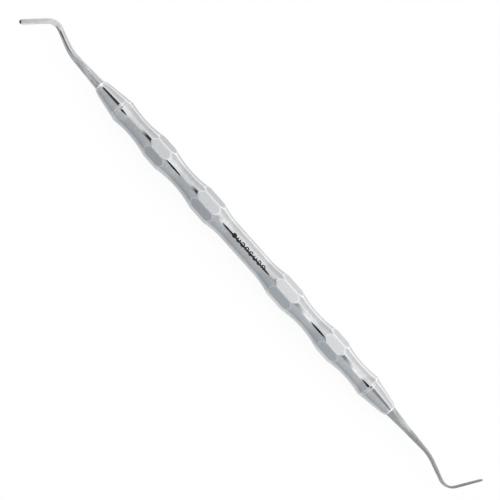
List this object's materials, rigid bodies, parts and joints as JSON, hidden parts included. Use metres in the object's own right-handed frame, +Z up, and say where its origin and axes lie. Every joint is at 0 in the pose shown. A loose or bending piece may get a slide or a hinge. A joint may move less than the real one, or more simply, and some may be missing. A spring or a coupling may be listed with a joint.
{
  "type": "dental hand scaler",
  "caption": "Double-ended steel hand scaler: hollow handle with waists and ground flats, tapered end cones, and bent shanks that end in thin flat blades set a quarter turn apart.",
  "frame": {"origin": "middle of the handle, on its axis, which is also the balance point; the lowest flats are 3.72 mm below it", "axes": "+X along the handle from end A to end B; +Z up from the flats that it lies on; both ends bend in the XY plane"},
  "size_m": [0.1784, 0.012, 0.0074],
  "materials": {
    "barrel_steel": "satin, turned waists with ground and lightly polished flats",
    "cone_steel": "satin, fine turning marks",
    "blade_steel": "polished shank, fine-ground blade"
  },
  "bodies": {
    "root": {"handle_barrel": "barrel_steel", "end_cone_a": "cone_steel", "end_cone_b": "cone_steel", "working_end_a": "blade_steel", "working_end_b": "blade_steel"}
  },
  "joints": []
}
